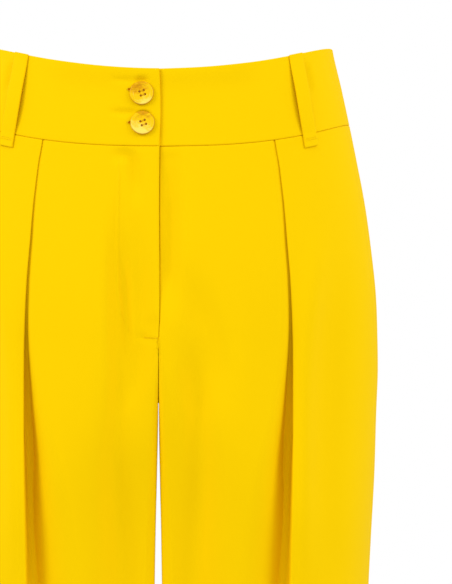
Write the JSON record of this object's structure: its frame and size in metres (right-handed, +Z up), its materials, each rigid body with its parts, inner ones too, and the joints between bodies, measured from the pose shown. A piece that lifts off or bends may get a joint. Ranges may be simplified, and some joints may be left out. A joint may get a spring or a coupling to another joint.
{
  "type": "palazzo trousers",
  "caption": "High-waisted, wide-legged trousers with a pleated front, a lapped fly, a buttoned waistband and belt loops, filled out as worn: a garment for the lower body.",
  "frame": {"origin": "middle of the waist, on the body's axis, level with the middle of the waistband at its side seams: where the wearer's waist holds the garment", "axes": "+Z up, -Y to the garment's front, +X to the wearer's left"},
  "size_m": [0.374, 0.2302, 1.0614],
  "materials": {
    "cloth": "smooth matt suiting with a fine twill weave and a slight sheen, bright yellow",
    "button": "polished resin with a cloudy horn-like grain, yellow"
  },
  "bodies": {
    "root": {"front_right": "cloth", "front_left": "cloth", "back_right": "cloth", "back_left": "cloth", "waistband_right": "cloth", "waistband_left": "cloth", "waistband_back": "cloth", "fly_underlap": "cloth", "belt_loop_front_right": "cloth", "belt_loop_front_left": "cloth", "belt_loop_back_right": "cloth", "belt_loop_back_left": "cloth", "belt_loop_back_centre": "cloth", "button_upper": "button", "button_lower": "button"}
  },
  "joints": []
}
